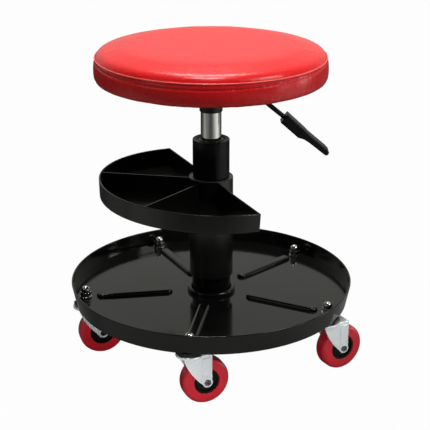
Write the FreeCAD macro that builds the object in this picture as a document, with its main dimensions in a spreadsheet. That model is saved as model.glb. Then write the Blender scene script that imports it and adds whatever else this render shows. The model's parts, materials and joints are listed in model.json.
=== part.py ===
import FreeCAD, Part
import math
import os
import Sketcher

# Creeper seat: tray base on five casters, gas lift, half-round tool tray and round cushion.
# Lengths in mm, angles in degrees, heights above the ground the wheels stand on, the camera side is -Y.

V = FreeCAD.Vector
document = FreeCAD.newDocument("creeper_seat")
sheet = document.addObject("Spreadsheet::Sheet", "sizes")

# sizes of the base tray and its rim
S = {
    "floor_top": 84.0, "floor_low": 82.8, "floor_bore_r": 25.1,
    "rim_foot_z": 77.2, "rim_top_r": 195.0, "rim_flare": 5.75, "sheet_thick": 1.2, "fit_gap": 0.05, "hem_thick": 2.4,
    "lip_reach": 2.75, "bend_reach": 1.13, "rim_to_stem": 19.0, "stem_to_rib": 22.5, "rim_top_z": 105.0,
    "hem_low_z": 99.5,
    "lip_top_z": 78.4, "hem_round": 1.1,
    "rib_start": 62.5, "rib_half": 7.5, "rib_high": 4.6, "rib_round": 3.8,
    "rib_hollow_half": 5.6, "rib_roof_z": 87.3, "stem_hole_r": 4.1,
    "caster_count": 5, "caster_turn": 45.0,
}
# sizes of the post, the hub plate and the fixed part of the gas lift
S.update({
    "post_in_r": 25.1, "post_out_r": 26.7, "post_top": 243.0,
    "foot_ring_in_r": 26.75, "foot_ring_out_r": 33.4, "foot_ring_top": 90.6, "foot_ring_round": 3.2,
    "hub_in_r": 12.0, "hub_out_r": 50.0, "hub_low": 79.8,
    "column_out_r": 25.0, "column_in_r": 23.5, "column_top": 305.0, "column_plate_top": 86.3,
    "column_bore_r": 5.05, "column_edge_round": 0.7,
    "bush_in_r": 14.06, "bush_out_r": 23.45, "bush_low": 227.0, "bush_top": 304.2,
    "bush_groove_in_r": 17.0, "bush_groove_out_r": 20.2, "bush_groove_z": 302.7,
    "race_in_r": 6.0, "race_out_r": 11.0, "race_top": 88.3,
    "ball_r": 2.0, "ball_ring_r": 8.5, "ball_z": 90.35, "cage_in_r": 6.1, "cage_out_r": 10.9,
    "cage_low": 89.8, "cage_thick": 1.1, "cage_hole_r": 2.05, "ball_count": 8,
})
# sizes of nuts, washers and caster stems
S.update({
    "washer_r": 8.5, "washer_top": 85.6, "nut_flats_half": 6.5, "nut_hex_top": 92.1,
    "dome_r": 6.25, "dome_top": 100.6, "dome_round": 5.9, "nut_bore_r": 4.05, "nut_bore_top": 95.0,
    "hex_flats_half": 14.5, "hex_low": 72.8, "stem_r": 4.0, "spacer_r": 8.0,
    "kingpin_low": 69.3, "rivet_r": 7.0, "rivet_low": 66.8, "rivet_round": 1.2,
})
# sizes of the rod with its clip, race, buffer and piston
S.update({
    "rod_r": 5.0, "rod_low": 79.0, "rod_top": 268.0, "clip_groove_r": 4.2, "clip_groove_low": 81.25,
    "clip_groove_top": 82.55, "clip_in_r": 4.25, "clip_out_r": 9.0, "clip_low": 81.3, "clip_top": 82.5,
    "collar_r": 7.0, "collar_low": 94.4, "collar_top": 97.0, "upper_race_low": 92.4, "rod_bore_r": 5.05,
    "buffer_top": 107.0, "piston_r": 11.92, "piston_low": 262.0, "piston_top": 272.0,
})
# sizes of the gas cylinder, its socket and the seat plate
S.update({
    "cyl_r": 14.0, "cyl_in_r": 12.0, "cyl_low": 140.0, "cyl_plug_top": 152.0, "cyl_plug_bore_r": 5.06,
    "cyl_roof": 336.3, "cyl_taper_low": 343.3, "cyl_top": 370.5, "cyl_top_r": 13.2,
    "valve_bore_r": 4.06, "valve_bore_low": 354.5, "cyl_edge_round": 0.8,
    "socket_r": 15.5, "socket_low_in_r": 14.05, "socket_top_in_r": 13.2, "socket_top": 372.0,
    "socket_flange_r": 22.0, "socket_round": 1.2,
    "plate_half": 76.0, "plate_low": 386.0, "plate_top": 388.5, "plate_corner": 14.0,
    "dish_low": 366.5, "dish_floor": 369.0, "dish_low_r": 44.0, "dish_top_r": 50.0,
    "dish_in_low_r": 41.6, "dish_in_top_r": 48.2, "dish_bore_r": 15.55,
    "slot_start": 33.5, "slot_end": 60.0, "slot_half": 5.0, "slot_low": 358.5, "slot_top": 384.5,
    "bolt_hole_r": 3.3,
})
# sizes of the seat bolts, tee nuts, board, foam and cover
S.update({
    "seat_r": 153.2,
    "bolt_at": 60.0, "bolt_ring_r": 84.8528, "bolt_turn": 45.0, "bolt_count": 4,
    "bolt_flats_half": 5.0, "bolt_head_low": 381.9, "bolt_r": 3.0, "bolt_tip": 397.5,
    "tee_r": 4.5, "tee_low": 390.5, "tee_flange_r": 9.0, "tee_flange_low": 399.3, "tee_bore_r": 3.05,
    "board_low": 388.5, "board_top": 400.5, "tee_hole_r": 4.55, "tee_sink_r": 9.05,
    "board_round": 1.5,
    "flap_low": 387.0, "side_low_z": 392.0,
    "side_top_z": 417.1, "welt_top_z": 420.9,
    "crown_z": 428.5, "crown_top": 433.5, "hem_curve": 6.0, "side_curve": 55.0,
    "welt_curve": 2.2, "shoulder_curve": 9.0, "skin_crown_top": 432.0,
    "skin_crown_z": 427.0, "skin_top_z": 420.5,
    "skin_curve": 7.5, "skin_low_z": 392.5,
    "skin_hem_curve": 4.5,
    "foam_foot_z": 391.0, "foam_low_z": 393.5,
    "foam_top_z": 417.5, "foam_crown_z": 426.5,
    "foam_crown_top": 431.6,
})
# sizes of the lever, its bracket and the release pin
S.update({
    "ear_start": 23.0, "ear_long": 10.0, "ear_in": 5.0, "ear_out": 7.0, "ear_top": 384.8,
    "ear_base_top": 370.5, "ear_round": 3.0, "pivot_x": 28.0, "pivot_z": 380.0, "pivot_r": 2.5,
    "pivot_hole_r": 2.55, "pivot_reach": 7.0, "pivot_head_r": 4.0, "pivot_head_reach": 8.5,
    "lever_r": 3.2, "lever_inner_x": -8.0, "lever_bend_x": 38.54, "lever_bend_out_x": 46.34,
    "lever_bend_out_z": 377.21, "lever_bend_curve": 12.3, "lever_end_x": 122.0, "lever_end_z": 315.04,
    "eye_r": 5.5, "eye_half": 4.6, "eye_bore_r": 2.56,
    "grip_bore_r": 3.25, "grip_half": 11.0, "grip_round": 2.2, "grip_tip_round": 3.8,
    "lever_pin_r": 4.0, "pin_low": 359.0, "pin_top": 376.7, "pin_round": 3.0,
})
# sizes of the tool tray
S.update({
    "sleeve_in_r": 28.5, "sleeve_out_r": 30.0, "sleeve_low": 110.0, "sleeve_top": 252.0,
    "sleeve_round": 0.7, "top_bush_in_r": 25.08, "top_bush_low": 243.3, "top_bush_top": 251.6,
    "low_bush_in_r": 26.78, "low_bush_low": 110.4, "low_bush_top": 130.4, "sleeve_bush_r": 28.48,
    "moon_top_r": 152.4, "moon_high": 25.7, "moon_rim_z": 248.3,
    "moon_lean": 2.13, "moon_lean_axis": 117.0, "moon_turn": 24.0, "moon_back": 1.0,
    "moon_skin": 1.2, "moon_hem": 2.0, "moon_hem_high": 3.0,
    "moon_round": 0.8, "moon_foot_round": 2.5,
    "sleeve_pass_r": 30.05, "divider_start": 24.0,
    "divider_half": 0.6, "divider_low": -24.5, "divider_rear_turn": 175.0, "divider_front_turn": 236.0,
    "divider_top": -0.4,
})
# sizes of one caster, its stem on the axis, trailing toward +X
S.update({
    "trail": 20.0, "wheel_r": 31.75, "crown_low": 69.8, "crown_top_z": 72.3, "nose_r": 18.0,
    "king_hole_r": 4.06, "fork_out": 13.5, "fork_in": 11.5, "leg_back_x": 26.3, "leg_back_z": 34.8,
    "leg_tip_r": 7.0, "leg_front_x": 13.35, "leg_front_z": 29.6, "leg_nose_x": -12.0, "leg_nose_z": 68.0,
    "leg_sweep": 90.0, "leg_round": 1.0, "axle_hole_r": 3.05,
    "panel_start": 13.2, "panel_end": 23.4, "panel_low": 40.0, "panel_top_z": 67.0, "panel_out": 14.2,
    "panel_round": 0.5, "axle_r": 3.0, "axle_head_r": 4.2, "axle_head_out": 15.0, "axle_dimple_r": 1.8,
    "axle_dimple": 14.2, "tread_half": 10.5, "tread_in_r": 17.5, "tread_round": 5.5,
    "hub_r": 17.45, "hub_half": 9.1, "hub_lip_r": 15.2, "hub_web_half": 6.2, "boss_r": 6.5,
    "boss_half": 10.9, "hub_bore_r": 3.06,
    "over": 10.0, "match_slack": 0.02,
})
# radii of the rim and the tray floor in it, from the rim's top, its flare and the sheet
slope = S["rim_flare"] / (S["rim_top_z"] - S["rim_foot_z"])
wall = S["sheet_thick"] * math.hypot(1, slope)
S["rim_foot_r"] = S["rim_top_r"] - S["rim_flare"]
for name, height, inward in (("hem_low_r", "hem_low_z", S["hem_thick"]), ("hem_step_r", "hem_low_z", wall),
                             ("lip_wall_r", "lip_top_z", wall),
                             ("flange_foot_r", "lip_top_z", wall + S["fit_gap"]),
                             ("floor_edge_r", "floor_top", wall + S["fit_gap"])):
    S[name] = round(S["rim_foot_r"] + slope * (S[height] - S["rim_foot_z"]) - inward, 4)
S["hem_in_r"] = S["rim_top_r"] - S["hem_thick"]
S["lip_in_r"] = S["rim_foot_r"] - S["lip_reach"]
S["flange_in_r"] = round(S["flange_foot_r"] - S["sheet_thick"], 4)
S["flange_bend_r"] = round(S["flange_in_r"] + S["bend_reach"], 4)
S["caster_ring_r"] = S["rim_top_r"] - S["rim_to_stem"]
S["rib_end"] = S["caster_ring_r"] - S["stem_to_rib"]
# radii of the seat and of the tool tray, each by how far it lies inside the outermost one
for outermost, inward in (("seat_r", {
        "side_low_r": 0.0, "side_top_r": 0.8, "welt_top_r": 1.3, "crown_r": 9.2, "skin_crown_r": 10.0,
        "skin_top_r": 2.8, "skin_side_top_r": 2.3, "skin_low_r": 1.5, "foam_board_r": 6.9, "foam_low_r": 2.3,
        "foam_top_r": 3.2, "foam_crown_r": 10.4, "board_r": 7.2, "flap_out_r": 4.7, "flap_in_r": 30.2}),
        ("moon_top_r", {
        "moon_foot_r": 1.5, "moon_low_in_r": 2.63, "moon_hem_foot_r": 1.38, "moon_mouth_r": 2.1,
        "divider_foot_r": 2.9, "divider_top_r": 2.4})):
    for name, step in inward.items():
        S[name] = round(S[outermost] - step, 4)
for corner, flats in (("nut_corner", "nut_flats_half"), ("hex_corner", "hex_flats_half"),
                      ("bolt_corner", "bolt_flats_half")):
    S[corner] = round(S[flats] * 2 / math.sqrt(3), 4)
    S[corner + "_half"] = round(S[flats] / math.sqrt(3), 4)

# azimuth of each caster on its ring and the direction it trails in
CASTERS = [(261.0, 22.0), (333.0, 29.5), (45.0, 28.0), (117.0, 30.0), (189.0, 17.0)]
# outline of the grip along and across the lever line, from its upper start corner round
GRIP = [(0.0, 7.3), (0.0, -7.5), (31.5, -8.3), (39.0, -5.2), (47.0, -4.2), (75.5, -3.6), (75.5, 3.6),
        (70.0, 4.4), (40.0, 4.7), (32.0, 5.6)]
GRIP_TIP = 6
GRIP_START = (97.6, 335.0)
GRIP_ANGLE = -39.8
for n, (along, across) in enumerate(GRIP):
    c, s = math.cos(math.radians(GRIP_ANGLE)), math.sin(math.radians(GRIP_ANGLE))
    S["grip_x_%d_at" % n] = round(GRIP_START[0] + along * c - across * s, 4)
    S["grip_z_%d_at" % n] = round(GRIP_START[1] + along * s + across * c, 4)

# the crowns fall from a flat middle in short cones, each a share of the way out
CROWN_SHARES = (0.85, 0.7, 0.55, 0.4, 0.22)
CROWNS = (("crown", "crown_top"), ("skin_crown", "skin_crown_top"), ("foam_crown", "foam_crown_top"))
for crown, top in CROWNS:
    fall = S[top] - S[crown + "_z"]
    for n, share in enumerate(CROWN_SHARES):
        S["%s_ring_%d_r" % (crown, n)] = round(S[crown + "_r"] * share, 4)
        S["%s_ring_%d_z" % (crown, n)] = round(S[top] - fall * share ** 2, 4)

# fill the sheet, one value with its name per row
for row, name in enumerate(S, 1):
    sheet.set("A%d" % row, repr(S[name]))
    sheet.setAlias("A%d" % row, name)
document.recompute()


# number that a text such as "cyl_top - cyl_low" stands for
def worth(text):
    total, sign = 0.0, 1
    for word in text.split():
        if word in "+-":
            sign = 1 if word == "+" else -1
        else:
            total += sign * (0.0 if word == "0" else S[word])
            sign = 1
    return total


# ties a property to the sheet by such a text
def bind(thing, field, text):
    words = [w if w in "+-0" else "sizes." + w for w in text.split()]
    thing.setExpression(field, " ".join(words))


def body(name):
    made = document.addObject("PartDesign::Body", name)
    made.AllowCompound = True
    return made


def origin(owner, role):
    return [f for f in owner.Origin.OriginFeatures if f.Role == role][0]


# empty sketch on an origin plane, lifted along the plane's normal
def sketch(owner, name, role, lift="0"):
    made = owner.newObject("Sketcher::SketchObject", owner.Name + "_" + name)
    made.AttachmentSupport = [(origin(owner, role), "")]
    made.MapMode = "FlatFace"
    if lift != "0":
        bind(made, "AttachmentOffset.Base.z", lift)
    return made


# fixes a point of a sketch at the two named distances
def pin(made, geometry, end, x, y):
    for kind, text, axis in (("DistanceX", x, -2), ("DistanceY", y, -1)):
        if abs(worth(text)) < 1e-9:
            made.addConstraint(Sketcher.Constraint("PointOnObject", geometry, end, axis))
        else:
            at = made.addConstraint(Sketcher.Constraint(kind, -1, 1, geometry, end, worth(text)))
            bind(made, "Constraints[%d]" % at, text)


# closed line of points, a third and fourth entry make the arriving side an arc: radius and its bulge side
def draw(made, path, closed=True):
    sides = []
    for n in range(0 if closed else 1, len(path)):
        a, b = path[n - 1], path[n]
        start, end = V(worth(a[0]), worth(a[1]), 0), V(worth(b[0]), worth(b[1]), 0)
        if len(b) == 2:
            g = made.addGeometry(Part.LineSegment(start, end), False)
            sides.append((g, 1, 2, b))
            continue
        radius, bulge = worth(b[2]), b[3]
        along = end - start
        square = V(-along.y, along.x, 0).normalize()
        rise = math.sqrt(radius ** 2 - (along.Length / 2) ** 2)
        centre = (start + end) * 0.5 - square * (rise * bulge)
        first, last = (start, end) if bulge < 0 else (end, start)
        turns = [math.atan2(p.y - centre.y, p.x - centre.x) for p in (first, last)]
        circle = Part.Circle(centre, V(0, 0, 1), radius)
        g = made.addGeometry(Part.ArcOfCircle(circle, turns[0], turns[1]), False)
        sides.append((g, 1, 2, b) if bulge < 0 else (g, 2, 1, b))
    for n in range(0 if closed else 1, len(sides)):
        before, after = sides[n - 1], sides[n]
        made.addConstraint(Sketcher.Constraint("Coincident", before[0], before[2], after[0], after[1]))
    if not closed:
        pin(made, sides[0][0], sides[0][1], path[0][0], path[0][1])
    for g, _, end, b in sides:
        pin(made, g, end, b[0], b[1])
    for g, _, _, b in sides:
        if len(b) > 2:
            at = made.addConstraint(Sketcher.Constraint("Radius", g, worth(b[2])))
            bind(made, "Constraints[%d]" % at, b[2])


def circle(made, radius, x="0", y="0"):
    g = made.addGeometry(Part.Circle(V(worth(x), worth(y), 0), V(0, 0, 1), worth(radius)), False)
    pin(made, g, 3, x, y)
    at = made.addConstraint(Sketcher.Constraint("Radius", g, worth(radius)))
    bind(made, "Constraints[%d]" % at, radius)


def hexagon(made, kind, x="0"):
    corner, half, flats = kind + "_corner", kind + "_corner_half", kind + "_flats_half"
    draw(made, [(x + " + " + corner, "0"), (x + " + " + half, flats), (x + " - " + half, flats),
                (x + " - " + corner, "0"), (x + " - " + half, "- " + flats), (x + " + " + half, "- " + flats)])


# pad or pocket of a sketch by a named length
def push(owner, made, length, kind="Pad", both=False, reverse=False):
    step = owner.newObject("PartDesign::" + kind, made.Name + "_" + kind.lower())
    step.Profile = made
    bind(step, "Length", length)
    if both:
        step.SideType = "Symmetric"
    step.Reversed = reverse
    made.Visibility = False
    return step


# full turn of a sketch round its upright axis
def turn(owner, made, kind="Revolution"):
    step = owner.newObject("PartDesign::" + kind, made.Name + "_turn")
    step.Profile = made
    step.ReferenceAxis = (made, ["V_Axis"])
    step.Angle = 360
    return step


# body that is one turned outline of (radius, height) points
def turned(name, path):
    owner = body(name)
    made = sketch(owner, "outline", "XZ_Plane")
    draw(made, path)
    turn(owner, made)
    return owner


def ring(name, inner, outer, low, top):
    return turned(name, [(inner, low), (outer, low), (outer, top), (inner, top)])


def pattern(owner, steps, count):
    made = owner.newObject("PartDesign::PolarPattern", owner.Name + "_pattern_%d" % len(owner.Group))
    made.Originals = steps
    made.Axis = (origin(owner, "Z_Axis"), [""])
    made.Angle = 360
    made.Occurrences = count
    owner.Tip = made
    return made


# edges that are full or part circles of a named radius at a named height
def rings_at(*places):
    wanted = [(worth(r), worth(z)) for r, z in places]

    def test(edge):
        if not hasattr(edge.Curve, "Radius"):
            return False
        r, z = edge.Curve.Radius, edge.Curve.Center.z
        return any(abs(r - a) < S["match_slack"] and abs(z - b) < S["match_slack"] for a, b in wanted)
    return test


# rounding of the edges that pass a test
def smooth(owner, name, radius, test):
    document.recompute()
    base = owner.Tip
    names = ["Edge%d" % n for n, edge in enumerate(base.Shape.Edges, 1) if test(edge)]
    if not names:
        raise ValueError("no edge for " + owner.Name + " " + name)
    made = owner.newObject("PartDesign::Fillet", owner.Name + "_" + name)
    made.Base = (base, names)
    bind(made, "Radius", radius)
    return made


# pressed tray floor with turned-down edge, radial ribs and stem holes
base_tray = turned("base_tray", [
    ("floor_bore_r", "floor_low"), ("flange_bend_r", "floor_low"), ("flange_in_r", "lip_top_z"),
    ("flange_foot_r", "lip_top_z"), ("floor_edge_r", "floor_top"), ("floor_bore_r", "floor_top")])
rib = sketch(base_tray, "rib", "XY_Plane", "floor_top")
draw(rib, [("rib_start", "- rib_half", "rib_half", -1), ("rib_end", "- rib_half"),
           ("rib_end + rib_half", "0", "rib_half", -1), ("rib_end", "rib_half", "rib_half", -1),
           ("rib_start", "rib_half"), ("rib_start - rib_half", "0", "rib_half", -1)])
rib_pad = push(base_tray, rib, "rib_high")
pattern(base_tray, [rib_pad], S["caster_count"])
smooth(base_tray, "rib_edges", "rib_round", lambda e: abs(e.BoundBox.ZMin - worth("floor_top + rib_high"))
       < S["match_slack"])
hollow = sketch(base_tray, "hollow", "XY_Plane", "floor_low")
draw(hollow, [("rib_start", "- rib_hollow_half", "rib_hollow_half", -1), ("rib_end", "- rib_hollow_half"),
              ("rib_end + rib_hollow_half", "0", "rib_hollow_half", -1),
              ("rib_end", "rib_hollow_half", "rib_hollow_half", -1), ("rib_start", "rib_hollow_half"),
              ("rib_start - rib_hollow_half", "0", "rib_hollow_half", -1)])
hollow_cut = push(base_tray, hollow, "rib_roof_z - floor_low", "Pocket", reverse=True)
stem_hole = sketch(base_tray, "stem_hole", "XY_Plane", "floor_top + over")
circle(stem_hole, "stem_hole_r", "caster_ring_r")
stem_cut = push(base_tray, stem_hole, "over + over", "Pocket")
pattern(base_tray, [hollow_cut, stem_cut], S["caster_count"])
bind(base_tray, "Placement.Rotation.Angle", "caster_turn")

tray_rim = turned("tray_rim", [
    ("rim_foot_r", "rim_foot_z"), ("rim_top_r", "rim_top_z"), ("hem_in_r", "rim_top_z"),
    ("hem_low_r", "hem_low_z"), ("hem_step_r", "hem_low_z"), ("lip_wall_r", "lip_top_z"),
    ("lip_in_r", "lip_top_z"), ("lip_in_r", "rim_foot_z")])
smooth(tray_rim, "hem", "hem_round", rings_at(("rim_top_r", "rim_top_z"), ("hem_in_r", "rim_top_z")))

# post tube with its foot ring, hub plate and the fixed chrome column
post_tube = ring("post_tube", "post_in_r", "post_out_r", "floor_top", "post_top")
post_ring = ring("post_ring", "foot_ring_in_r", "foot_ring_out_r", "floor_top", "foot_ring_top")
smooth(post_ring, "bead", "foot_ring_round",
       rings_at(("foot_ring_in_r", "foot_ring_top"), ("foot_ring_out_r", "foot_ring_top")))
hub_plate = ring("hub_plate", "hub_in_r", "hub_out_r", "hub_low", "floor_low")
outer_column = turned("outer_column", [
    ("column_bore_r", "floor_low"), ("column_out_r", "floor_low"), ("column_out_r", "column_top"),
    ("column_in_r", "column_top"), ("column_in_r", "column_plate_top"), ("column_bore_r", "column_plate_top")])
smooth(outer_column, "lip", "column_edge_round", rings_at(("column_out_r", "column_top")))
guide_bush = turned("guide_bush", [
    ("bush_in_r", "bush_low"), ("bush_out_r", "bush_low"), ("bush_out_r", "bush_top"),
    ("bush_groove_out_r", "bush_top"), ("bush_groove_out_r", "bush_groove_z"),
    ("bush_groove_in_r", "bush_groove_z"), ("bush_groove_in_r", "bush_top"), ("bush_in_r", "bush_top")])
thrust_race_lower = ring("thrust_race_lower", "race_in_r", "race_out_r", "column_plate_top", "race_top")

# eight balls, each in its hole of a thin cage
ball_cage = body("ball_cage")
made = sketch(ball_cage, "disc", "XY_Plane", "cage_low")
circle(made, "cage_out_r")
circle(made, "cage_in_r")
push(ball_cage, made, "cage_thick")
made = sketch(ball_cage, "hole", "XY_Plane", "cage_low + over")
circle(made, "cage_hole_r", "ball_ring_r")
ball_cut = push(ball_cage, made, "over + over", "Pocket")
pattern(ball_cage, [ball_cut], S["ball_count"])
balls = [ball_cage]
for n in range(S["ball_count"]):
    ball = document.addObject("Part::Sphere", "ball_%d" % n)
    bind(ball, "Radius", "ball_r")
    around = "%d * 360 deg / sizes.ball_count" % n
    ball.setExpression("Placement.Base.x", "sizes.ball_ring_r * cos(%s)" % around)
    ball.setExpression("Placement.Base.y", "sizes.ball_ring_r * sin(%s)" % around)
    bind(ball, "Placement.Base.z", "ball_z")
    balls.append(ball)
thrust_balls = document.addObject("Part::Compound", "thrust_balls")
thrust_balls.Links = balls

# washers and cap nuts round the tray
washers = body("washers")
made = sketch(washers, "disc", "XY_Plane", "floor_top")
circle(made, "washer_r", "caster_ring_r")
circle(made, "stem_hole_r", "caster_ring_r")
disc_pad = push(washers, made, "washer_top - floor_top")
pattern(washers, [disc_pad], S["caster_count"])
cap_nuts = body("cap_nuts")
made = sketch(cap_nuts, "hex", "XY_Plane", "washer_top")
hexagon(made, "nut", "caster_ring_r")
hex_pad = push(cap_nuts, made, "nut_hex_top - washer_top")
made = sketch(cap_nuts, "dome", "XY_Plane", "washer_top")
circle(made, "dome_r", "caster_ring_r")
dome_pad = push(cap_nuts, made, "dome_top - washer_top")
made = sketch(cap_nuts, "bore", "XY_Plane", "washer_top")
circle(made, "nut_bore_r", "caster_ring_r")
bore_cut = push(cap_nuts, made, "nut_bore_top - washer_top", "Pocket", reverse=True)
pattern(cap_nuts, [hex_pad, dome_pad, bore_cut], S["caster_count"])
smooth(cap_nuts, "domes", "dome_round", rings_at(("dome_r", "dome_top")))
for item in (washers, cap_nuts):
    bind(item, "Placement.Rotation.Angle", "caster_turn")

# rod with its collar and the small pieces on it
piston_rod = turned("piston_rod", [
    ("0", "rod_low"), ("rod_r", "rod_low"), ("rod_r", "clip_groove_low"), ("clip_groove_r", "clip_groove_low"),
    ("clip_groove_r", "clip_groove_top"), ("rod_r", "clip_groove_top"), ("rod_r", "collar_low"),
    ("collar_r", "collar_low"), ("collar_r", "collar_top"), ("rod_r", "collar_top"), ("rod_r", "rod_top"),
    ("0", "rod_top")])
rod_clip = ring("rod_clip", "clip_in_r", "clip_out_r", "clip_low", "clip_top")
thrust_race_upper = ring("thrust_race_upper", "rod_bore_r", "race_out_r", "upper_race_low", "collar_low")
rubber_buffer = ring("rubber_buffer", "rod_bore_r", "race_out_r", "collar_top", "buffer_top")
gas_piston = turned("gas_piston", [
    ("rod_bore_r", "piston_low"), ("piston_r", "piston_low"), ("piston_r", "piston_top"), ("0", "piston_top"),
    ("0", "rod_top"), ("rod_bore_r", "rod_top")])

# gas cylinder, tapered into the socket of the seat plate
gas_cylinder = turned("gas_cylinder", [
    ("cyl_plug_bore_r", "cyl_low"), ("cyl_r", "cyl_low"), ("cyl_r", "cyl_taper_low"), ("cyl_top_r", "cyl_top"),
    ("valve_bore_r", "cyl_top"), ("valve_bore_r", "valve_bore_low"), ("0", "valve_bore_low"), ("0", "cyl_roof"),
    ("cyl_in_r", "cyl_roof"), ("cyl_in_r", "cyl_plug_top"), ("cyl_plug_bore_r", "cyl_plug_top")])
smooth(gas_cylinder, "foot", "cyl_edge_round", rings_at(("cyl_r", "cyl_low")))
hub_socket = turned("hub_socket", [
    ("socket_low_in_r", "cyl_taper_low"), ("socket_r", "cyl_taper_low"), ("socket_r", "dish_floor"),
    ("socket_flange_r", "dish_floor"), ("socket_flange_r", "socket_top"), ("socket_top_in_r", "socket_top")])
smooth(hub_socket, "foot", "socket_round", rings_at(("socket_r", "cyl_taper_low")))

seat_plate = body("seat_plate")
made = sketch(seat_plate, "square", "XY_Plane", "plate_low")
draw(made, [("plate_half", "- plate_half"), ("plate_half", "plate_half"), ("- plate_half", "plate_half"),
            ("- plate_half", "- plate_half")])
push(seat_plate, made, "plate_top - plate_low")
smooth(seat_plate, "corners", "plate_corner",
       lambda e: abs(e.BoundBox.ZLength - worth("plate_top - plate_low")) < S["match_slack"])
made = sketch(seat_plate, "dish", "XZ_Plane")
draw(made, [("0", "dish_low"), ("dish_low_r", "dish_low"), ("dish_top_r", "plate_low"),
            ("dish_top_r", "plate_top"), ("0", "plate_top")])
turn(seat_plate, made)
made = sketch(seat_plate, "dish_inside", "XZ_Plane")
draw(made, [("0", "dish_floor"), ("dish_in_low_r", "dish_floor"), ("dish_in_top_r", "plate_top"),
            ("0", "plate_top")])
turn(seat_plate, made, "Groove")
made = sketch(seat_plate, "bores", "XY_Plane", "plate_top + over")
circle(made, "dish_bore_r")
for x, y in (("bolt_at", "bolt_at"), ("- bolt_at", "bolt_at"), ("- bolt_at", "- bolt_at"),
             ("bolt_at", "- bolt_at")):
    circle(made, "bolt_hole_r", x, y)
push(seat_plate, made, "plate_top - dish_low + over + over", "Pocket")
made = sketch(seat_plate, "slot", "XZ_Plane")
draw(made, [("slot_start", "slot_low"), ("slot_end", "slot_low"), ("slot_end", "slot_top"),
            ("slot_start", "slot_top")])
push(seat_plate, made, "slot_half + slot_half", "Pocket", both=True)

# bolts, tee nuts and board
seat_bolts = body("seat_bolts")
made = sketch(seat_bolts, "head", "XY_Plane", "bolt_head_low")
hexagon(made, "bolt", "bolt_ring_r")
head_pad = push(seat_bolts, made, "plate_low - bolt_head_low")
made = sketch(seat_bolts, "shank", "XY_Plane", "bolt_head_low")
circle(made, "bolt_r", "bolt_ring_r")
shank_pad = push(seat_bolts, made, "bolt_tip - bolt_head_low")
seat_tnuts = body("seat_tnuts")
made = sketch(seat_tnuts, "barrel", "XY_Plane", "tee_low")
circle(made, "tee_r", "bolt_ring_r")
barrel_pad = push(seat_tnuts, made, "board_top - tee_low")
made = sketch(seat_tnuts, "flange", "XY_Plane", "tee_flange_low")
circle(made, "tee_flange_r", "bolt_ring_r")
flange_pad = push(seat_tnuts, made, "board_top - tee_flange_low")
made = sketch(seat_tnuts, "bore", "XY_Plane", "board_top + over")
circle(made, "tee_bore_r", "bolt_ring_r")
tee_cut = push(seat_tnuts, made, "board_top - tee_low + over + over", "Pocket")
# the four sets sit on the plate's diagonals
for owner, steps in ((seat_bolts, [head_pad, shank_pad]), (seat_tnuts, [barrel_pad, flange_pad, tee_cut])):
    pattern(owner, steps, S["bolt_count"])
    bind(owner, "Placement.Rotation.Angle", "bolt_turn")
seat_board = ring("seat_board", "hub_in_r", "board_r", "board_low", "board_top")
for name, radius, low in (("holes", "tee_hole_r", "board_low - over"), ("sinks", "tee_sink_r", "tee_flange_low")):
    made = sketch(seat_board, name, "XY_Plane", low)
    for x, y in (("bolt_at", "bolt_at"), ("- bolt_at", "bolt_at"), ("- bolt_at", "- bolt_at"),
                 ("bolt_at", "- bolt_at")):
        circle(made, radius, x, y)
    push(seat_board, made, "board_top - board_low + over + over", "Pocket", reverse=True)
smooth(seat_board, "rims", "board_round",
       rings_at(("board_r", "board_low"), ("board_r", "board_top")))

# points of a crown from its edge to the flat middle on the axis
def crown_points(crown):
    points = [("%s_ring_%d_r" % (crown, n), "%s_ring_%d_z" % (crown, n)) for n in range(len(CROWN_SHARES))]
    return points + [("0", points[-1][1])]


# foam and vinyl cover with crown, shoulder and welt
seat_foam = turned("seat_foam", [
    ("0", "board_top"), ("foam_board_r", "board_top"), ("foam_board_r", "foam_foot_z"),
    ("foam_low_r", "foam_low_z"), ("foam_top_r", "foam_top_z", "side_curve", -1),
    ("foam_crown_r", "foam_crown_z", "shoulder_curve", -1)] + crown_points("foam_crown"))
seat_cover = turned("seat_cover", [
    ("flap_in_r", "flap_low"), ("flap_out_r", "flap_low"), ("side_low_r", "side_low_z", "hem_curve", -1),
    ("side_top_r", "side_top_z", "side_curve", -1), ("welt_top_r", "welt_top_z", "welt_curve", -1),
    ("crown_r", "crown_z", "shoulder_curve", -1)] + crown_points("crown")
    + crown_points("skin_crown")[::-1] + [
    ("skin_crown_r", "skin_crown_z"), ("skin_top_r", "skin_top_z", "skin_curve", 1), ("skin_side_top_r", "side_top_z"),
    ("skin_low_r", "skin_low_z", "side_curve", 1), ("flap_out_r", "board_low", "skin_hem_curve", 1),
    ("flap_in_r", "board_low")])

# lever bracket with two ears and its pivot
lever_bracket = body("lever_bracket")
made = sketch(lever_bracket, "section", "YZ_Plane", "ear_start")
draw(made, [("- ear_out", "dish_floor"), ("ear_out", "dish_floor"), ("ear_out", "ear_top"),
            ("ear_in", "ear_top"), ("ear_in", "ear_base_top"), ("- ear_in", "ear_base_top"),
            ("- ear_in", "ear_top"), ("- ear_out", "ear_top")])
push(lever_bracket, made, "ear_long")
smooth(lever_bracket, "ears", "ear_round", lambda e: abs(e.BoundBox.ZMin - S["ear_top"]) < S["match_slack"]
       and abs(e.BoundBox.XLength) < S["match_slack"])
made = sketch(lever_bracket, "hole", "XZ_Plane")
circle(made, "pivot_hole_r", "pivot_x", "pivot_z")
push(lever_bracket, made, "over + over", "Pocket", both=True)
lever_pivot = body("lever_pivot")
for name, radius, reach in (("shaft", "pivot_r", "pivot_reach"), ("heads", "pivot_head_r", "pivot_head_reach")):
    made = sketch(lever_pivot, name, "XZ_Plane")
    circle(made, radius, "pivot_x", "pivot_z")
    push(lever_pivot, made, reach + " + " + reach, both=True)
made = sketch(lever_pivot, "waist", "XZ_Plane")
circle(made, "pivot_head_r", "pivot_x", "pivot_z")
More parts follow.
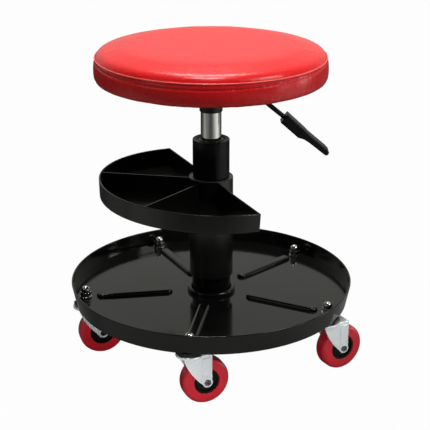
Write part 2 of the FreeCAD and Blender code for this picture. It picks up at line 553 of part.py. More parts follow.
circle(made, "pivot_r", "pivot_x", "pivot_z")
push(lever_pivot, made, "pivot_reach + pivot_reach", "Pocket", both=True)


# line the lever rod follows in the upright plane through the axis
def lever_line(owner):
    made = sketch(owner, "line", "XZ_Plane")
    draw(made, [("lever_inner_x", "pivot_z"), ("lever_bend_x", "pivot_z"),
                ("lever_bend_out_x", "lever_bend_out_z", "lever_bend_curve", 1),
                ("lever_end_x", "lever_end_z")], closed=False)
    return made


def along_lever(owner, radius, kind):
    line = lever_line(owner)
    section = sketch(owner, "section", "YZ_Plane", "lever_inner_x")
    circle(section, radius, "0", "pivot_z")
    pipe = owner.newObject("PartDesign::" + kind, owner.Name + "_pipe")
    pipe.Profile = section
    pipe.Spine = (line, ["Edge1", "Edge2", "Edge3"])
    return pipe


lever_rod = body("lever_rod")
along_lever(lever_rod, "lever_r", "AdditivePipe")
made = sketch(lever_rod, "eye", "XZ_Plane")
circle(made, "eye_r", "pivot_x", "pivot_z")
push(lever_rod, made, "eye_half + eye_half", both=True)
made = sketch(lever_rod, "eye_bore", "XZ_Plane")
circle(made, "eye_bore_r", "pivot_x", "pivot_z")
push(lever_rod, made, "over + over", "Pocket", both=True)

lever_grip = body("lever_grip")
made = sketch(lever_grip, "outline", "XZ_Plane")
grip_path = [("grip_x_%d_at" % n, "grip_z_%d_at" % n) for n in range(len(GRIP))]
grip_path[GRIP_TIP] += ("grip_tip_round", -1)
draw(made, grip_path)
push(lever_grip, made, "grip_half + grip_half", both=True)
smooth(lever_grip, "sides", "grip_round", lambda e: e.BoundBox.YLength < S["match_slack"])
along_lever(lever_grip, "grip_bore_r", "SubtractivePipe")

release_pin = turned("release_pin", [("0", "pin_low"), ("lever_pin_r", "pin_low"), ("lever_pin_r", "pin_top"),
                                     ("0", "pin_top")])
smooth(release_pin, "dome", "pin_round", rings_at(("lever_pin_r", "pin_top")))

# sleeve of the tool tray and its two bushes
tray_sleeve = ring("tray_sleeve", "sleeve_in_r", "sleeve_out_r", "sleeve_low", "sleeve_top")
smooth(tray_sleeve, "ends", "sleeve_round", rings_at(("sleeve_out_r", "sleeve_top"), ("sleeve_out_r", "sleeve_low")))
sleeve_bush_top = ring("sleeve_bush_top", "top_bush_in_r", "sleeve_bush_r", "top_bush_low", "top_bush_top")
sleeve_bush_bottom = ring("sleeve_bush_bottom", "low_bush_in_r", "sleeve_bush_r", "low_bush_low",
                          "low_bush_top")

# rotation and place of the leaning half-round tray, its rim plane through the axis at rim height
lean_line = math.radians(S["moon_lean_axis"])
LEAN = FreeCAD.Rotation(V(math.cos(lean_line), math.sin(lean_line), 0), S["moon_lean"])


def leaning(azimuth):
    return FreeCAD.Placement(V(0, 0, S["moon_rim_z"]), LEAN * FreeCAD.Rotation(V(0, 0, 1), S[azimuth]))


# half of a cone, cut off upright at a distance before the axis
def half_cone(name, low_r, top_r, low, top, back):
    whole = document.addObject("Part::Cone", name + "_whole")
    bind(whole, "Radius1", low_r)
    bind(whole, "Radius2", top_r)
    bind(whole, "Height", top + " - " + low)
    bind(whole, "Placement.Base.z", low)
    block = document.addObject("Part::Box", name + "_block")
    bind(block, "Length", "moon_top_r + over + " + back)
    bind(block, "Width", "moon_top_r + moon_top_r + over + over")
    bind(block, "Height", "moon_high + over + over")
    bind(block, "Placement.Base.x", "- moon_top_r - over")
    bind(block, "Placement.Base.y", "- moon_top_r - over")
    bind(block, "Placement.Base.z", "- moon_high - over")
    half = document.addObject("Part::Common", name)
    half.Base, half.Tool = whole, block
    return half


pan_block = half_cone("pan_block", "moon_foot_r", "moon_top_r", "- moon_high", "0", "moon_back")
document.recompute()
pan_round = document.addObject("Part::Fillet", "pan_round")
pan_round.Base = pan_block
pan_low = [n for n, e in enumerate(pan_block.Shape.Edges, 1)
           if e.BoundBox.ZMax < worth("over - moon_high")]
pan_round.Edges = [(n, S["moon_foot_round"], S["moon_foot_round"]) for n in pan_low]
pan_inside = half_cone("pan_inside", "moon_low_in_r", "moon_hem_foot_r", "divider_low", "- moon_hem_high",
                       "moon_back - moon_skin")
pan_mouth = half_cone("pan_mouth", "moon_mouth_r", "moon_mouth_r", "- moon_hem_high", "over",
                      "moon_back - moon_hem")
pan_space = document.addObject("Part::MultiFuse", "pan_space")
pan_space.Shapes = [pan_inside, pan_mouth]
pan_open = document.addObject("Part::Cut", "pan_open")
pan_open.Base, pan_open.Tool = pan_round, pan_space
document.recompute()
pan_hem = document.addObject("Part::Fillet", "pan_hem")
pan_hem.Base = pan_open
pan_hem.Edges = [(n, S["moon_round"], S["moon_round"]) for n, e in enumerate(pan_open.Shape.Edges, 1)
                 if abs(e.BoundBox.ZMin) < S["match_slack"] and abs(e.BoundBox.ZMax) < S["match_slack"]]
pan_hem.Placement = leaning("moon_turn")


# passage for the sleeve through a piece of the leaning tray
def with_passage(name, base):
    passage = document.addObject("Part::Cylinder", name + "_passage")
    bind(passage, "Radius", "sleeve_pass_r")
    bind(passage, "Height", "moon_high + moon_high + over + over")
    bind(passage, "Placement.Base.z", "moon_rim_z - moon_high - over")
    made = document.addObject("Part::Cut", name)
    made.Base, made.Tool = base, passage
    return made


moon_tray = with_passage("moon_tray", pan_hem)
dividers = []
for name in ("divider_rear", "divider_front"):
    sheet_body = body(name + "_sheet")
    made = sketch(sheet_body, "outline", "XZ_Plane")
    draw(made, [("divider_start", "divider_low"), ("divider_foot_r", "divider_low"),
                ("divider_top_r", "divider_top"), ("divider_start", "divider_top")])
    push(sheet_body, made, "divider_half + divider_half", both=True)
    sheet_body.Placement = leaning(name + "_turn")
    dividers.append(with_passage(name, sheet_body))

# casters: each piece is drawn round its own stem axis, then stands on the ring and trails its own way
leaves = [base_tray, tray_rim, post_tube, post_ring, hub_plate, outer_column, guide_bush, thrust_race_lower,
          thrust_balls, cap_nuts, washers, piston_rod, rod_clip, thrust_race_upper, rubber_buffer, gas_piston,
          gas_cylinder, hub_socket, seat_plate, seat_bolts, seat_tnuts, seat_board, seat_foam, seat_cover,
          lever_bracket, lever_pivot, lever_rod, lever_grip, release_pin, tray_sleeve, sleeve_bush_top,
          sleeve_bush_bottom, moon_tray] + dividers
for number, (azimuth, heading) in enumerate(CASTERS, 1):
    tag = "_%d" % number
    stem = body("caster_stem" + tag)
    made = sketch(stem, "hex", "XY_Plane", "hex_low")
    hexagon(made, "hex")
    push(stem, made, "rim_foot_z - hex_low")
    for name, radius, low, top in (("spacer", "spacer_r", "hex_low", "floor_low"),
                                   ("bolt", "stem_r", "hex_low", "nut_bore_top"),
                                   ("king", "stem_r", "rivet_low", "hex_low"),
                                   ("rivet", "rivet_r", "rivet_low", "kingpin_low")):
        made = sketch(stem, name, "XY_Plane", low)
        circle(made, radius)
        push(stem, made, top + " - " + low)
    smooth(stem, "rivet_edge", "rivet_round", rings_at(("rivet_r", "rivet_low")))

    fork = body("caster_fork" + tag)
    made = sketch(fork, "crown", "XY_Plane", "crown_low")
    circle(made, "nose_r")
    push(fork, made, "crown_top_z - crown_low")
    made = sketch(fork, "leg", "XZ_Plane")
    draw(made, [("leg_back_x", "crown_top_z"), ("leg_nose_x", "crown_top_z"), ("leg_nose_x", "leg_nose_z"),
                ("leg_front_x", "leg_front_z", "leg_sweep", -1), ("trail", "wheel_r - leg_tip_r", "leg_tip_r", -1),
                ("leg_back_x", "leg_back_z", "leg_tip_r", -1)])
    push(fork, made, "fork_out + fork_out", both=True)
    made = sketch(fork, "panel", "XZ_Plane")
    draw(made, [("panel_start", "panel_low"), ("panel_end", "panel_low"), ("panel_end", "panel_top_z"),
                ("panel_start", "panel_top_z")])
    push(fork, made, "panel_out + panel_out", both=True)
    made = sketch(fork, "channel", "XZ_Plane")
    draw(made, [("- nose_r - over", "0"), ("leg_back_x + over", "0"), ("leg_back_x + over", "crown_low"),
                ("- nose_r - over", "crown_low")])
    push(fork, made, "fork_in + fork_in", "Pocket", both=True)
    made = sketch(fork, "axle_hole", "XZ_Plane")
    circle(made, "axle_hole_r", "trail", "wheel_r")
    push(fork, made, "nose_r + nose_r", "Pocket", both=True)
    made = sketch(fork, "king_hole", "XY_Plane", "crown_top_z + over")
    circle(made, "king_hole_r")
    push(fork, made, "over + over", "Pocket")
    smooth(fork, "crown_edge", "leg_round", lambda e: abs(e.BoundBox.ZMin - S["crown_top_z"]) < S["match_slack"]
           and e.BoundBox.DiagonalLength > S["spacer_r"] + S["stem_r"])

    # axle and wheel are drawn upright about Z, then laid over and lifted to the wheel's height
    axle = turned("caster_axle" + tag, [
        ("0", "- axle_dimple"), ("axle_dimple_r", "- axle_dimple"), ("axle_dimple_r", "- axle_head_out"),
        ("axle_head_r", "- axle_head_out"), ("axle_head_r", "- fork_out"), ("axle_r", "- fork_out"),
        ("axle_r", "fork_out"), ("axle_head_r", "fork_out"), ("axle_head_r", "axle_head_out"),
        ("axle_dimple_r", "axle_head_out"), ("axle_dimple_r", "axle_dimple"), ("0", "axle_dimple")])
    tread = ring("wheel_tread" + tag, "tread_in_r", "wheel_r", "- tread_half", "tread_half")
    smooth(tread, "shoulders", "tread_round", rings_at(("wheel_r", "tread_half"), ("wheel_r", "- tread_half")))
    hub = turned("wheel_hub" + tag, [
        ("hub_bore_r", "- boss_half"), ("boss_r", "- boss_half"), ("boss_r", "- hub_web_half"),
        ("hub_lip_r", "- hub_web_half"), ("hub_lip_r", "- hub_half"), ("hub_r", "- hub_half"),
        ("hub_r", "hub_half"), ("hub_lip_r", "hub_half"), ("hub_lip_r", "hub_web_half"),
        ("boss_r", "hub_web_half"), ("boss_r", "boss_half"), ("hub_bore_r", "boss_half")])
    spot = V(S["caster_ring_r"] * math.cos(math.radians(azimuth)),
             S["caster_ring_r"] * math.sin(math.radians(azimuth)), 0)
    way = FreeCAD.Rotation(V(0, 0, 1), heading)
    stem.Placement = FreeCAD.Placement(spot, FreeCAD.Rotation())
    fork.Placement = FreeCAD.Placement(spot, way)
    laid = FreeCAD.Rotation(V(1, 0, 0), 90)
    for item in (axle, tread, hub):
        item.Placement = FreeCAD.Placement(spot + way.multVec(V(S["trail"], 0, S["wheel_r"])), way * laid)
    leaves += [stem, fork, axle, tread, hub]

# check every object, then write one file per piece
document.recompute()
for item in document.Objects:
    if any(word in item.State for word in ("Invalid", "Error")):
        raise ValueError("not built: " + item.Name)
os.makedirs("parts", exist_ok=True)
for item in leaves:
    item.Label = item.Name
    shape = item.Shape
    if shape.isNull() or not shape.isValid() or not shape.Solids:
        raise ValueError("bad shape: " + item.Name)
    print("%-22s %10.0f %d" % (item.Name, shape.Volume, len(shape.Solids)))
    item.Shape.exportStep("parts/" + item.Label + ".step")
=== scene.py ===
import math
import json
import bpy
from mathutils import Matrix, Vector, noise


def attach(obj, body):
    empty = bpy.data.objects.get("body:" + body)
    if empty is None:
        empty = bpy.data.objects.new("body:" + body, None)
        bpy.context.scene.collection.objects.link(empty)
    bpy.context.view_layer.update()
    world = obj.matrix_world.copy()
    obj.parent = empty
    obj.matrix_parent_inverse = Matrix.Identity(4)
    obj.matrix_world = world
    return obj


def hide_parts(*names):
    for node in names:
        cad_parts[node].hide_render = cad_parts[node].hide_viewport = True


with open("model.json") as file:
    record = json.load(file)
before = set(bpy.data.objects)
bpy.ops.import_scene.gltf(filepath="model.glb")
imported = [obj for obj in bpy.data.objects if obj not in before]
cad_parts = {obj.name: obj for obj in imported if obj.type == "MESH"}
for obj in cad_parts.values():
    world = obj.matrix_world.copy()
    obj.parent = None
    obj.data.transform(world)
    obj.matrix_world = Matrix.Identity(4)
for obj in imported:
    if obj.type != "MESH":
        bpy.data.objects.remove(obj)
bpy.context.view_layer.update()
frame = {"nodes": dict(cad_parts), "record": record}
nodes = frame["nodes"]


def clearSelection():
    if bpy.context.object and bpy.context.object.mode != "OBJECT":
        bpy.ops.object.mode_set(mode="OBJECT")
    bpy.ops.object.select_all(action="DESELECT")


def pickUp(piece):
    clearSelection()
    piece.select_set(True)
    bpy.context.view_layer.objects.active = piece


# distance from the column's axis
def reach(place):
    return math.hypot(place.x, place.y)


def settle(piece, name, body, finish, smoothAngle=32):
    piece.name = name
    piece.data.name = name
    pickUp(piece)
    bpy.ops.object.transform_apply(location=True, rotation=True, scale=True)
    bpy.ops.object.shade_smooth_by_angle(angle=math.radians(smoothAngle))
    piece.data.materials.clear()
    piece.data.materials.append(finish)
    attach(piece, body)


# camera as the photograph was taken
cameraSet = {
    "place": (0.00528, -1.55465, 0.77828),
    "pitch": 69.431,
    "lens": 100.945,
    "sensor": 36,
    "farClip": 30,
}
cameraTurn = (math.radians(cameraSet["pitch"]), 0, 0)
bpy.ops.object.camera_add(location=cameraSet["place"], rotation=cameraTurn)
camera = bpy.context.object
camera.data.lens = cameraSet["lens"]
camera.data.sensor_width = cameraSet["sensor"]
camera.data.clip_end = cameraSet["farClip"]
bpy.context.scene.camera = camera
bpy.context.scene.view_settings.view_transform = "Standard"
print("camera set")

# studio light
studio = {
    "front": 0.1,  # room brightness toward the camera side
    "back": 0.56,
    "blend": (-0.15, 0.6),  # the step from front to back, on the direction's Y
    "roomColour": (0.98, 1, 0.93, 1),
    "seenColour": (1, 1, 1, 1),
    "notMirrored": ["lowFront"],
    "onlyMirrored": ["windowBack", "windowFront"],
    "lamps": [
        # name, place, aim, width, height, watts, spread
        ("keyRight", (1.5, -0.7, 1.8), (0.0, 0.0, 0.35), 0.8, 0.8, 22, 180),
        ("fillLeft", (-1.7, -1.2, 1.1), (0.0, 0.0, 0.25), 0.8, 1.2, 2, 180),
        ("overhead", (-0.05, -0.25, 2.1), (0.0, 0.0, 0.4), 0.5, 0.35, 17, 180),
        ("shoulderCard", (-0.04, 0.75, 1.86), (0.0, 0.0, 0.4), 0.65, 0.5, 13, 180),
        ("lowFront", (0.05, -0.8, 0.06), (0.0, -0.1, 0.035), 0.5, 0.06, 0.3, 50),
        ("windowBack", (2.2, 0.2, 0.36), (0.0, 0.0, 0.2), 0.4, 0.7, 4.5, 180),
        ("windowFront", (2.1, -0.7, 0.36), (0.0, 0.0, 0.2), 0.3, 0.7, 3, 180),
    ],
}
world = bpy.data.worlds.new("studioWorld")
bpy.context.scene.world = world
world.use_nodes = True
worldNodes, worldLinks = world.node_tree.nodes, world.node_tree.links
worldNodes.clear()
worldOut = worldNodes.new("ShaderNodeOutputWorld")
seenWorld = worldNodes.new("ShaderNodeBackground")
seenWorld.inputs["Color"].default_value = studio["seenColour"]
seenWorld.inputs["Strength"].default_value = 1.0
roomWorld = worldNodes.new("ShaderNodeBackground")
roomWorld.inputs["Color"].default_value = studio["roomColour"]
skyPlace = worldNodes.new("ShaderNodeTexCoord")
skyAxes = worldNodes.new("ShaderNodeSeparateXYZ")
skySpan = worldNodes.new("ShaderNodeMapRange")
skySpan.interpolation_type = "SMOOTHSTEP"
skySpan.inputs["From Min"].default_value = studio["blend"][0]
skySpan.inputs["From Max"].default_value = studio["blend"][1]
skySpan.inputs["To Min"].default_value = studio["front"]
skySpan.inputs["To Max"].default_value = studio["back"]
worldLinks.new(skyPlace.outputs["Generated"], skyAxes.inputs[0])
worldLinks.new(skyAxes.outputs["Y"], skySpan.inputs["Value"])
worldLinks.new(skySpan.outputs["Result"], roomWorld.inputs["Strength"])
rayKind = worldNodes.new("ShaderNodeLightPath")
rayMix = worldNodes.new("ShaderNodeMixShader")
worldLinks.new(rayKind.outputs["Is Camera Ray"], rayMix.inputs[0])
worldLinks.new(roomWorld.outputs[0], rayMix.inputs[1])
worldLinks.new(seenWorld.outputs[0], rayMix.inputs[2])
worldLinks.new(rayMix.outputs[0], worldOut.inputs[0])
for lampName, place, aim, width, height, watts, spread in studio["lamps"]:
    turn = (Vector(aim) - Vector(place)).to_track_quat("-Z", "Y").to_euler()
    bpy.ops.object.light_add(type="AREA", location=place, rotation=turn)
    lamp = bpy.context.object
    lamp.name = lampName
    lamp.data.shape = "RECTANGLE"
    lamp.data.size, lamp.data.size_y = width, height
    lamp.data.energy = watts
    lamp.data.spread = math.radians(spread)
    lamp.visible_camera = False
    lamp.visible_glossy = lampName not in studio["notMirrored"]
    lamp.visible_diffuse = lampName not in studio["onlyMirrored"]
print("light set")

# finishes: each gets colour drift, roughness drift and fine relief from noise on object coordinates
finishSet = {
    "driftDetail": 4,
    "driftSpan": (0.3, 0.7),
    "roughScale": 60,
    "roughDetail": 3,
    "leastRough": 0.02,
    "reliefDetail": 5,
    "reliefDepth": 0.0004,
}


def newNoise(tree, place, scale, detail):
    cloud = tree.nodes.new("ShaderNodeTexNoise")
    cloud.inputs["Scale"].default_value = scale
    cloud.inputs["Detail"].default_value = detail
    tree.links.new(place.outputs["Object"], cloud.inputs["Vector"])
    return cloud.outputs["Fac"]


# level and sheen are the strength and the tint of the mirror part, soften rounds the edges' shading
def newFinish(name, colour, rough, metal=0.0, drift=0.08, driftScale=18, roughDrift=0.05,
              relief=0.0, reliefScale=900, level=0.5, soften=0.0004, sheen=(1, 1, 1)):
    finish = bpy.data.materials.new(name)
    finish.use_nodes = True
    tree = finish.node_tree
    n, l = tree.nodes, tree.links
    shader = n["Principled BSDF"]
    shader.inputs["Metallic"].default_value = metal
    shader.inputs["Specular IOR Level"].default_value = level
    shader.inputs["Specular Tint"].default_value = list(sheen) + [1]
    place = n.new("ShaderNodeTexCoord")
    cloud = newNoise(tree, place, driftScale, finishSet["driftDetail"])
    tint = n.new("ShaderNodeValToRGB")
    dark, light = tint.color_ramp.elements
    dark.position, light.position = finishSet["driftSpan"]
    dark.color = [c * (1 - drift) for c in colour] + [1]
    light.color = [min(1, c * (1 + drift)) for c in colour] + [1]
    l.new(cloud, tint.inputs["Fac"])
    l.new(tint.outputs["Color"], shader.inputs["Base Color"])
    smear = newNoise(tree, place, finishSet["roughScale"], finishSet["roughDetail"])
    span = n.new("ShaderNodeMapRange")
    span.inputs["To Min"].default_value = max(finishSet["leastRough"], rough - roughDrift)
    span.inputs["To Max"].default_value = rough + roughDrift
    l.new(smear, span.inputs["Value"])
    l.new(span.outputs["Result"], shader.inputs["Roughness"])
    if soften:
        edge = n.new("ShaderNodeBevel")
        edge.inputs["Radius"].default_value = soften
        l.new(edge.outputs["Normal"], shader.inputs["Normal"])
    if relief:
        grain = newNoise(tree, place, reliefScale, finishSet["reliefDetail"])
        bump = n.new("ShaderNodeBump")
        bump.inputs["Strength"].default_value = relief
        bump.inputs["Distance"].default_value = finishSet["reliefDepth"]
        l.new(grain, bump.inputs["Height"])
        if soften:
            l.new(edge.outputs["Normal"], bump.inputs["Normal"])
        l.new(bump.outputs["Normal"], shader.inputs["Normal"])
    return finish


paintSheen = (0.98, 1.0, 0.9)
finishes = {
    "tray_black": newFinish("glossBlackPaint", (0.005, 0.0052, 0.005), 0.11,
                            relief=0.08, reliefScale=200, level=0.3, sheen=paintSheen),
    "pan_black": newFinish("satinBlackPaint", (0.005, 0.0052, 0.0048), 0.2,
                           relief=0.1, reliefScale=700, level=0.35, sheen=paintSheen),
    "frame_black": newFinish("darkFramePaint", (0.008, 0.008, 0.008), 0.4,
                             relief=0.3, reliefScale=800, level=0.3),
    "chrome": newFinish("polishedChrome", (0.5, 0.49, 0.47), 0.08, metal=1.0, drift=0.03),
    "steel": newFinish("groundSteel", (0.55, 0.55, 0.56), 0.3, metal=1.0, drift=0.06),
    "zinc": newFinish("brightZinc", (0.9, 0.94, 0.96), 0.24, metal=0.45,
                      drift=0.05, driftScale=45, roughDrift=0.07, soften=0.0007),
    "pale_nylon": newFinish("paleNylon", (0.42, 0.41, 0.39), 0.4, relief=0.1),
    "dark_plastic": newFinish("grainedPlastic", (0.006, 0.006, 0.006), 0.36,
                              relief=0.25, reliefScale=1500, level=0.2),
    "red_wheel": newFinish("redWheelPlastic", (0.5, 0.014, 0.026), 0.32,
                           relief=0.1, reliefScale=500),
    "buffer_rubber": newFinish("bufferRubber", (0.02, 0.02, 0.02), 0.8),
    "plywood": newFinish("blackenedBoard", (0.03, 0.028, 0.026), 0.7,
                         drift=0.25, relief=0.5, reliefScale=300),
    "foam": newFinish("seatFoam", (0.75, 0.7, 0.5), 0.9),
    "red_vinyl": newFinish("redVinyl", (0.74, 0.01, 0.013), 0.27,
                           drift=0.03, roughDrift=0.03, relief=0.03, level=0.3, soften=0),
}
# nodes that look unlike the rest of their slot in the photograph
columnBlack = newFinish("columnBlack", (0.005, 0.0052, 0.005), 0.12,
                        relief=0.06, reliefScale=200, level=0.1)
ownFinish = {
    "outer_column": columnBlack,
    "post_tube": columnBlack,
    "washers": newFinish("washerPlate", (0.35, 0.35, 0.34), 0.2, metal=1.0),
    "guide_bush": newFinish("darkNylon", (0.02, 0.02, 0.019), 0.4),
    "sleeve_bush_top": newFinish("shadedNylon", (0.12, 0.12, 0.11), 0.4),
}
for number in range(1, 6):
    ownFinish["caster_axle_%d" % number] = newFinish(
        "axleSteel%d" % number, (0.2, 0.21, 0.22), 0.3, metal=1.0, drift=0.3, driftScale=300)
slotOf = {row["node"]: row["material_slot"] for row in frame["record"]["subparts"]}
for nodeName, node in nodes.items():
    node.data.materials.clear()
    node.data.materials.append(ownFinish.get(nodeName, finishes[slotOf[nodeName]]))
print("finishes set")

spinSet = {"seedSize": 0.001, "steps": 128, "mergeGap": 0.00002}


# line of points pushed out one by one from a start point, then spun round the upright axis
def spunPiece(outline):
    clearSelection()
    bpy.ops.mesh.primitive_plane_add(size=spinSet["seedSize"], location=(0, 0, 0))
    piece = bpy.context.object
    bpy.ops.object.mode_set(mode="EDIT")
    bpy.ops.mesh.select_all(action="SELECT")
    bpy.ops.mesh.merge(type="CENTER")
    here = Vector((0, 0, 0))
    for number, (r, z) in enumerate(outline):
        there = Vector((r, 0, z))
        if number == 0:
            bpy.ops.transform.translate(value=there - here)
        else:
            bpy.ops.mesh.extrude_region_move(TRANSFORM_OT_translate={"value": there - here})
        here = there
    bpy.ops.mesh.select_all(action="SELECT")
    bpy.ops.mesh.spin(steps=spinSet["steps"], angle=math.tau, center=(0, 0, 0), axis=(0, 0, 1))
    bpy.ops.mesh.select_all(action="SELECT")
    bpy.ops.mesh.remove_doubles(threshold=spinSet["mergeGap"])
    bpy.ops.mesh.normals_make_consistent(inside=False)
    bpy.ops.object.mode_set(mode="OBJECT")
    return piece


# seat cushion: foam drum in vinyl, swollen between its seams
cushion = {
    "outline": [(0.0, 0.4012), (0.1464, 0.4012), (0.1464, 0.3878), (0.1512, 0.3876),
                (0.1541, 0.3892), (0.1546, 0.3935), (0.1550, 0.4000), (0.1548, 0.4085),
                (0.1542, 0.4140), (0.1530, 0.4178), (0.1521, 0.4222), (0.1506, 0.4265),
                (0.1472, 0.4291), (0.1384, 0.4304), (0.1180, 0.4312), (0.0980, 0.4315),
                (0.0500, 0.4317), (0.0, 0.4317)],
    "voxel": 0.004,
    "seamZ": 0.4182,
    "heldSeam": {"half": 0.0028, "from": 0.146},
    "heldFoot": {"z": 0.3925, "innerZ": 0.4030, "innerTo": 0.1480},
    "pressure": 4.0,
    "stretch": 40,
    "bending": 2,
    "frames": 20,
    "swell": 0.0028,  # most that a point may move, reached softly
    "evenShare": 0.85,  # how far the swell is evened out round the drum
    "ringStep": 0.004,
    "least": 1e-6,
    "smoothTimes": 10,
    "smoothShare": 0.5,
    "fineFrom": 0.145,  # faces of the side that are split once more
    "fineBand": (0.407, 0.4186),
    "workedFrom": 0.1,  # creases fade in from this radius
    "workedBlend": 0.04,
    "seamPinch": 0.0003,
    "pinchWidth": 0.0022,
    "smoothAngle": 60,
}
# second crease with its stitches, deepest in front and running into the seam at both sides
creaseSet = {
    "turn": 0.12,  # lowest place, in radians off the front
    "below": 0.0022,
    "sag": 0.0050,
    "sagPower": 1.5,
    "depth": 0.0012,
    "width": 0.0011,
    "depthMean": 0.7,
    "depthDrift": 0.5,
    "driftScale": 6,
    "driftSeed": 3.0,
    "sideShare": 0.2,
    "frontShare": 0.8,
    "stitchShare": 0.25,
    "stitches": 240,
    "gather": 0.0004,
    "gatherScale": (30, 90),  # round the drum and upright
    "gatherSeed": 1.0,
    "gatherWidth": 0.004,
}
# slight waves of the lower edge
hemSet = {"z": 0.395, "from": 0.148, "wave": 0.0006, "scale": 5, "seed": 7.0}
pad = spunPiece(cushion["outline"])
pad.name = "seatCushion"
pickUp(pad)
remesh = pad.modifiers.new("even", "REMESH")
remesh.mode = "VOXEL"
remesh.voxel_size = cushion["voxel"]
bpy.ops.object.modifier_apply(modifier="even")


# points at one radius and height swell alike
def ringKey(place):
    return round(reach(place) / cushion["ringStep"]), round(place.z / cushion["ringStep"])


startPlaces = [v.co.copy() for v in pad.data.vertices]
held = pad.vertex_groups.new(name="held")
foot, seam = cushion["heldFoot"], cushion["heldSeam"]
for v in pad.data.vertices:
    r = reach(v.co)
    atFoot = v.co.z < foot["z"] or (v.co.z < foot["innerZ"] and r < foot["innerTo"])
    atSeam = abs(v.co.z - cushion["seamZ"]) < seam["half"] and r > seam["from"]
    if atFoot or atSeam:
        held.add([v.index], 1.0, "REPLACE")
cloth = pad.modifiers.new("swell", "CLOTH")
cloth.settings.use_pressure = True
cloth.settings.uniform_pressure_force = cushion["pressure"]
cloth.settings.effector_weights.gravity = 0
cloth.settings.vertex_group_mass = "held"
cloth.settings.tension_stiffness = cushion["stretch"]
cloth.settings.compression_stiffness = cushion["stretch"]
cloth.settings.bending_stiffness = cushion["bending"]
cloth.point_cache.frame_start = 1
cloth.point_cache.frame_end = cushion["frames"]
for step in range(1, cushion["frames"] + 1):
    bpy.context.scene.frame_set(step)
swollen = pad.evaluated_get(bpy.context.evaluated_depsgraph_get())
ends = [v.co.copy() for v in swollen.data.vertices]
pad.modifiers.clear()
rings = {}
for start, end in zip(startPlaces, ends):
    rings.setdefault(ringKey(start), []).append((reach(end) - reach(start), end.z - start.z))
rings = {key: [sum(column) / len(rows) for column in zip(*rows)] for key, rows in rings.items()}
for v, start, end in zip(pad.data.vertices, startPlaces, ends):
    r = max(reach(start), cushion["least"])
    out, up = rings[ringKey(start)]
    even = Vector((out * start.x / r, out * start.y / r, up))
    move = (end - start).lerp(even, cushion["evenShare"])
    if move.length > cushion["least"]:
        move *= cushion["swell"] * math.tanh(move.length / cushion["swell"]) / move.length
    v.co = start + move
bpy.context.scene.frame_set(1)
smoother = pad.modifiers.new("soft", "SMOOTH")
smoother.iterations = cushion["smoothTimes"]
smoother.factor = cushion["smoothShare"]
pickUp(pad)
bpy.ops.object.modifier_apply(modifier="soft")
rounder = pad.modifiers.new("round", "SUBSURF")
rounder.levels = 1
rounder.render_levels = 1
bpy.ops.object.modifier_apply(modifier="round")
lowZ, highZ = cushion["fineBand"]
for face in pad.data.polygons:
    face.select = reach(face.center) > cushion["fineFrom"] and lowZ < face.center.z < highZ
bpy.ops.object.mode_set(mode="EDIT")
bpy.ops.mesh.subdivide(number_cuts=1)
bpy.ops.object.mode_set(mode="OBJECT")
around, upright = creaseSet["gatherScale"]
for v in pad.data.vertices:
    r = reach(v.co)
    if r < cushion["workedFrom"]:
        continue
    turn = math.atan2(v.co.y, v.co.x)
    off = (v.co.z - cushion["seamZ"]) / cushion["pinchWidth"]
    pinch = cushion["seamPinch"] * math.exp(-off * off)
    front = max(0.0, -math.sin(turn + creaseSet["turn"]))
    sag = creaseSet["sag"] * front ** creaseSet["sagPower"]
    creaseZ = cushion["seamZ"] - creaseSet["below"] - sag
    above = v.co.z - creaseZ
    drift = noise.noise((turn * creaseSet["driftScale"], creaseSet["driftSeed"], 0.0))
    crease = creaseSet["depth"] * math.exp(-(above / creaseSet["width"]) ** 2)
    crease *= creaseSet["depthMean"] + creaseSet["depthDrift"] * drift
    stitch = 1 + creaseSet["stitchShare"] * math.cos(turn * creaseSet["stitches"])
    crease *= (creaseSet["sideShare"] + creaseSet["frontShare"] * front) * stitch
    fold = noise.noise((turn * around, v.co.z * upright, creaseSet["gatherSeed"]))
    gather = creaseSet["gather"] * fold
    gather *= math.exp(-(above / creaseSet["gatherWidth"]) ** 2)
    worked = min(1.0, (r - cushion["workedFrom"]) / cushion["workedBlend"])
    pull = (pinch + max(0, crease) + gather) * worked
    v.co.x -= pull * v.co.x / r
    v.co.y -= pull * v.co.y / r
    if v.co.z < hemSet["z"] and r > hemSet["from"]:
        v.co.z += hemSet["wave"] * noise.noise((turn * hemSet["scale"], 0.0, hemSet["seed"]))
settle(pad, "seatCushion", "seat", finishes["red_vinyl"], cushion["smoothAngle"])
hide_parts("seat_cover", "seat_foam")
print("cushion made", len(pad.data.polygons))

# welt cord sewn into the seam
weltSet = {
    "ring": 0.1524,
    "thick": 0.0010,  # the cord's radius
    "z": 0.4184,
    "around": 256,
    "across": 12,
    "smoothAngle": 80,
}
# the cord is the seat's vinyl, given a paler red as a painted highlight for the light it catches
# along the seam
weltHighlightVinyl = newFinish("weltHighlightVinyl", (0.88, 0.1, 0.09), 0.28, drift=0.1, driftScale=30)
clearSelection()
bpy.ops.mesh.primitive_torus_add(
    major_radius=weltSet["ring"], minor_radius=weltSet["thick"], major_segments=weltSet["around"],
    minor_segments=weltSet["across"], location=(0, 0, weltSet["z"]))
settle(bpy.context.object, "seatWelt", "seat", weltHighlightVinyl, weltSet["smoothAngle"])
print("welt made")

# vinyl turned under the board
flapSet = {"outline": [(0.123, 0.3884), (0.123, 0.3875), (0.1440, 0.3874), (0.1465, 0.3886)]}
flap = spunPiece(flapSet["outline"] + flapSet["outline"][:1])
settle(flap, "coverFlap", "seat", finishes["red_vinyl"])
print("turned edge made")
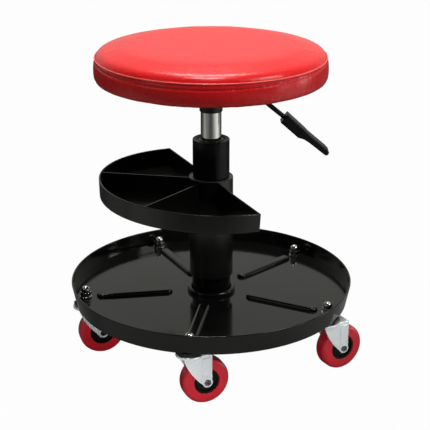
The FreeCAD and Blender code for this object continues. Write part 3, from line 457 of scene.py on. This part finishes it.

# pale floor that keeps a soft shadow: the camera sees it mostly as an even glow and other rays see
# a darker even tone. Mirrored rays see a tone by place in metres from the column, a painted
# reflection of bright cards and dark bands
floorSet = {
    "half": 6.0,
    "z": -0.0002,
    "rough": 0.9,
    "seenShare": 0.98,
    "bounce": 0.22,  # tone for all but mirrored rays, which see cards * fading + nearBand
    "span": 1.0,
    # cards, fading and nearBand are painted reflections: bright and dark bands of floor tone that
    # only mirrored rays see
    "cards": [(-1, 0.34), (-0.7, 0.34), (-0.3, 0.13), (0.15, 0.13), (0.5, 0.35), (0.9, 0.9)],
    "fading": [(-1, 1), (0.05, 1), (0.45, 0.2), (1, 0.2)],
    "nearBand": [(-0.65, 0), (-0.43, 0.3), (-0.25, 0.3), (-0.05, 0)],
}
clearSelection()
bpy.ops.mesh.primitive_plane_add(size=floorSet["half"] * 2, location=(0, 0, floorSet["z"]))
floor = bpy.context.object
floor.name = "studioFloor"
floorFinish = bpy.data.materials.new("paleFloor")
floorFinish.use_nodes = True
floorNodes, floorLinks = floorFinish.node_tree.nodes, floorFinish.node_tree.links
floorShader = floorNodes["Principled BSDF"]
floorShader.inputs["Roughness"].default_value = floorSet["rough"]
floorShader.inputs["Specular IOR Level"].default_value = 0.0
floorGlow = floorNodes.new("ShaderNodeEmission")
floorGlow.inputs["Strength"].default_value = 1.0
floorRay = floorNodes.new("ShaderNodeLightPath")
floorPlace = floorNodes.new("ShaderNodeTexCoord")
floorAxes = floorNodes.new("ShaderNodeSeparateXYZ")
floorLinks.new(floorPlace.outputs["Object"], floorAxes.inputs[0])


# tone along one axis, through stops of place and tone
def floorProfile(axis, stops):
    span = floorNodes.new("ShaderNodeMapRange")
    span.inputs["From Min"].default_value = -floorSet["span"]
    span.inputs["From Max"].default_value = floorSet["span"]
    floorLinks.new(floorAxes.outputs[axis], span.inputs["Value"])
    ramp = floorNodes.new("ShaderNodeValToRGB")
    marks = ramp.color_ramp.elements
    while len(marks) < len(stops):
        marks.new(0.5)
    # all places before all tones, because the ramp sorts its marks
    for number, stop in enumerate(stops):
        marks[number].position = (stop[0] + floorSet["span"]) / (2 * floorSet["span"])
    for number, stop in enumerate(stops):
        marks[number].color = (stop[1], stop[1], stop[1], 1)
    floorLinks.new(span.outputs["Result"], ramp.inputs["Fac"])
    return ramp.outputs["Color"]


lit = floorNodes.new("ShaderNodeMath")
lit.operation = "MULTIPLY_ADD"
floorLinks.new(floorProfile("X", floorSet["cards"]), lit.inputs[0])
floorLinks.new(floorProfile("Y", floorSet["fading"]), lit.inputs[1])
floorLinks.new(floorProfile("Y", floorSet["nearBand"]), lit.inputs[2])
floorTone = floorNodes.new("ShaderNodeMapRange")
floorTone.inputs["To Min"].default_value = floorSet["bounce"]
floorLinks.new(lit.outputs[0], floorTone.inputs["To Max"])
floorLinks.new(floorRay.outputs["Is Glossy Ray"], floorTone.inputs["Value"])
floorLinks.new(floorTone.outputs["Result"], floorShader.inputs["Base Color"])
floorShare = floorNodes.new("ShaderNodeMath")
floorShare.operation = "MULTIPLY"
floorShare.inputs[1].default_value = floorSet["seenShare"]
floorMix = floorNodes.new("ShaderNodeMixShader")
floorLinks.new(floorRay.outputs["Is Camera Ray"], floorShare.inputs[0])
floorLinks.new(floorShare.outputs[0], floorMix.inputs[0])
floorLinks.new(floorShader.outputs[0], floorMix.inputs[1])
floorLinks.new(floorGlow.outputs[0], floorMix.inputs[2])
floorLinks.new(floorMix.outputs[0], floorNodes["Material Output"].inputs[0])
floor.data.materials.append(floorFinish)
print("floor laid")
